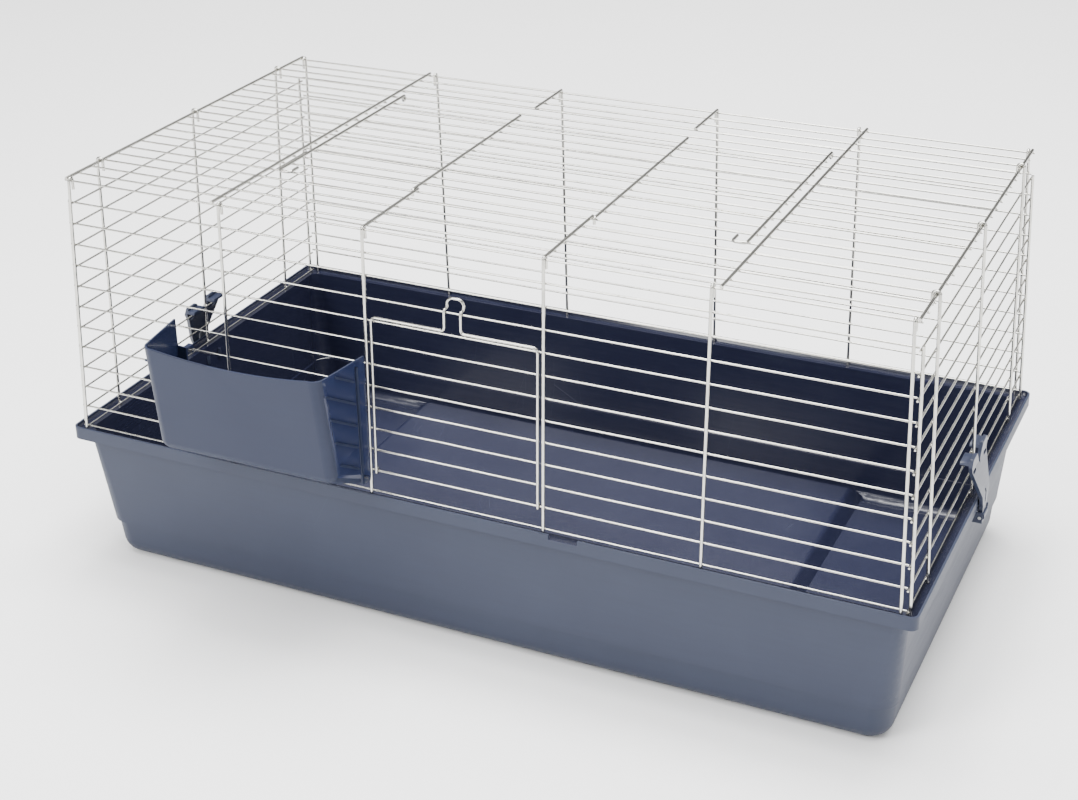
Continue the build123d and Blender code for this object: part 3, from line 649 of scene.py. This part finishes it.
BETWEEN = BAR_R - 0.05 * MM                    # a bead's place between a thin and a thick wire
crossings = []
for row in range(BAR_ROWS):
    z = bar_z(row)
    corner_x = half_x(z) - CORNER_INSET
    for x in UPRIGHT_X + (corner_x,):
        for end in (-1, 1):
            crossings.append(on_wall("back", end * x, z, BETWEEN))
            crossings.append(on_wall("front", end * x, z, BETWEEN))
    for side in ("left", "right"):
        for along in UPRIGHT_Y:
            crossings.append(on_wall(side, along, z - SIDE_DROP, BETWEEN))
for row in range(ROOF_ROWS):
    places = [CROSS_X[1], ROOF_END_X] + ([INNER_X] if row not in HATCH_ROWS and row != HINGE_ROW else [])
    crossings += [Vector((end * x, roof_y(row), ROOF_Z + BETWEEN)) for x in places for end in (-1, 1)]
weld_beads("cage_welds", "cage", crossings)
weld_beads("door_welds", "front_door", [on_wall("front", end * DOOR_HALF, bar_z(row), BETWEEN)
                                        for row in DOOR_ROWS for end in (-1, 1)])
weld_beads("hatch_welds", "roof_hatch", [Vector((end * x, roof_y(row), ROOF_Z + BETWEEN))
                                         for row in HATCH_ROWS for x in (HATCH_HALF, HATCH_INNER)
                                         for end in (-1, 1)])


# ---- moulded pieces ----
MERGE_GAP = 0.01 * MM
FLAT_TURN = math.radians(1.0)                  # faces that turn by less than this are one flat
SMOOTH_TURN = math.radians(40)                 # edges that turn by more than this stay sharp


def moulded_copy(name, node, material, bevel):
    """Clean copy of a moulded CAD part: merged, large flats joined, edges softened, smooth by angle."""
    mesh = frame["nodes"][node].data.copy()
    mesh.name = name
    shape = bmesh.new()
    shape.from_mesh(mesh)
    bmesh.ops.remove_doubles(shape, verts=shape.verts, dist=MERGE_GAP)
    bmesh.ops.dissolve_limit(shape, angle_limit=FLAT_TURN, verts=shape.verts, edges=shape.edges)
    if bevel:
        sharp = [e for e in shape.edges if e.is_manifold and e.calc_face_angle(0.0) > SMOOTH_TURN]
        bmesh.ops.bevel(shape, geom=sharp, offset=bevel, segments=2, affect="EDGES", clamp_overlap=True)
        bmesh.ops.remove_doubles(shape, verts=shape.verts, dist=MERGE_GAP)
    for face in shape.faces:
        face.smooth = True
    shape.to_mesh(mesh)
    shape.free()
    mesh.set_sharp_from_angle(angle=SMOOTH_TURN)
    mesh.materials.clear()
    mesh.materials.append(material)
    holder = bpy.data.objects.new(name + "_shape", mesh)
    bpy.context.collection.objects.link(holder)
    # broad faces decide the shading, so that flats stay flat beside rounded edges
    weighted = holder.modifiers.new("flats", "WEIGHTED_NORMAL")
    weighted.keep_sharp = True
    weighted.weight = 100
    bpy.context.view_layer.update()
    shaded = bpy.data.meshes.new_from_object(holder.evaluated_get(bpy.context.evaluated_depsgraph_get()))
    shaded.name = name
    bpy.data.objects.remove(holder)
    piece = bpy.data.objects.new(name, shaded)
    bpy.context.collection.objects.link(piece)
    return piece


def tray():
    """Tray with a matte outside, rim and ears, and a polished inside whose darker colour is painted shade."""
    piece = moulded_copy("tray_moulding", "base_tray", TRAY_OUTSIDE, 0.0)
    piece.data.materials.append(TRAY_INSIDE_PAINTED_SHADE)
    ear_x = 495 * MM
    lip_z = RIM_TOP - 1 * MM
    level = 0.02
    # faces inside the tray take the polished material, whose darker colour is painted shade
    for face in piece.data.polygons:
        middle, way = face.center, face.normal
        faces_in = way.z > level or (abs(way.z) < level and middle.z > BASE_Z - 1 * MM
                                     and way.x * middle.x + way.y * (middle.y - MID_Y) < 0)
        under_ledge = middle.z < BASE_Z - 5 * MM and abs(middle.x) > ear_x
        if faces_in and middle.z < lip_z and not under_ledge:
            face.material_index = 1
    settled(piece, "cage", "tray_plastic", "base_tray")


tray()


FEEDER_BACK_HALF = 120.5 * MM
FEEDER_FRONT_HALF = 109.5 * MM
FEEDER_DEEP = 77 * MM
FEEDER_TOP_BAND = 12 * MM                      # the feeder's top edges stay matte down to here


def feeder():
    """Feeder with a matte front and ribs, and a polished inside and ends."""
    middle_x = (FEEDER_LOW.x + FEEDER_HIGH.x) / 2
    flare = (FEEDER_BACK_HALF - FEEDER_FRONT_HALF) / FEEDER_DEEP
    piece = moulded_copy("feeder_moulding", "feeder", FEEDER_OUTSIDE, 0.25 * MM)
    piece.data.materials.append(FEEDER_POLISHED)
    for face in piece.data.polygons:
        middle, way = face.center, face.normal
        wall_x = FEEDER_BACK_HALF - flare * (FEEDER_LOW.y + FEEDER_DEEP - middle.y)
        is_rib = abs(middle.x - middle_x) > wall_x + 0.5 * MM
        is_inside = way.y > 0.1 or (way.z > 0.3 and middle.z < FEEDER_HIGH.z - FEEDER_TOP_BAND)
        if not is_rib and (is_inside or abs(way.x) > 0.9):
            face.material_index = 1
    settled(piece, "feeder", "feeder_plastic", "feeder")


feeder()
for side in ("left", "right"):
    clip = side + "_clip"
    settled(moulded_copy(clip + "_moulding", clip, CLIP_PLASTIC, 0.4 * MM), clip, "clip_plastic", clip)


# ---- stage: pale floor, soft light ----
def pale_floor():
    """Wide plain floor under the cage."""
    mesh = bpy.data.meshes.new("floor")
    reach = 12.0
    mesh.from_pydata([(-reach, -reach, 0), (reach, -reach, 0), (reach, reach, 0), (-reach, reach, 0)], [],
                     [(0, 1, 2, 3)])
    material = bpy.data.materials.new("floor_paper")
    material.use_nodes = True
    n = Nodes(material.node_tree)
    place = n.add("ShaderNodeTexCoord").outputs["Object"]
    mottle = n.add("ShaderNodeTexNoise", {"Vector": place, "Scale": 3.0}).outputs["Fac"]
    shade = n.add("ShaderNodeMapRange", {"Value": mottle, "To Min": 0.9, "To Max": 0.94}).outputs["Result"]
    shader = material.node_tree.nodes["Principled BSDF"]
    material.node_tree.links.new(shade, shader.inputs["Base Color"])
    shader.inputs["Roughness"].default_value = 0.9
    mesh.materials.append(material)
    floor = bpy.data.objects.new("floor", mesh)
    bpy.context.collection.objects.link(floor)


def soft_light(name, place, aim, size, power):
    """Large square studio light."""
    data = bpy.data.lights.new(name, "AREA")
    data.size = size
    data.energy = power
    light = bpy.data.objects.new(name, data)
    light.location = place
    light.rotation_mode = "QUATERNION"
    light.rotation_quaternion = (Vector(aim) - Vector(place)).to_track_quat("-Z", "Y")
    bpy.context.collection.objects.link(light)


pale_floor()
soft_light("key_light", (-1.5, -3.0, 2.4), (0, 0, 0.2), 1.6, 140)
soft_light("fill_light", (3.0, -1.2, 1.8), (0, 0, 0.2), 1.2, 36)
soft_light("top_light", (0.1, 0.6, 3.4), (0, 0, 0.2), 2.2, 240)


def studio_world():
    """Bright above and dark towards the horizon, so that round wires keep dark edges. Seen itself, pale."""
    world = bpy.data.worlds.new("studio")
    world.use_nodes = True
    n = Nodes(world.node_tree)
    way = n.add("ShaderNodeTexCoord").outputs["Generated"]
    up = n.add("ShaderNodeSeparateXYZ", {"Vector": way}).outputs["Z"]
    pale = 1.9
    strength = n.add("ShaderNodeMapRange", {"Value": up, "From Min": 0.1, "From Max": 0.75, "To Min": 0.08,
                                            "To Max": 0.8}).outputs["Result"]
    seen = n.add("ShaderNodeLightPath").outputs["Is Camera Ray"]
    backdrop = n.math("ADD", strength, n.math("MULTIPLY", seen, n.math("SUBTRACT", pale, strength)))
    background = world.node_tree.nodes["Background"]
    background.inputs["Color"].default_value = (1.0, 1.0, 1.0, 1)
    world.node_tree.links.new(backdrop, background.inputs["Strength"])
    bpy.context.scene.world = world


def overhead_sun(strength, spread):
    """Even light from straight above, which keeps the floor pale far from the cage."""
    data = bpy.data.lights.new("overhead_light", "SUN")
    data.energy = strength
    data.angle = math.radians(spread)
    bpy.context.collection.objects.link(bpy.data.objects.new("overhead_light", data))


studio_world()
overhead_sun(3.6, 60)
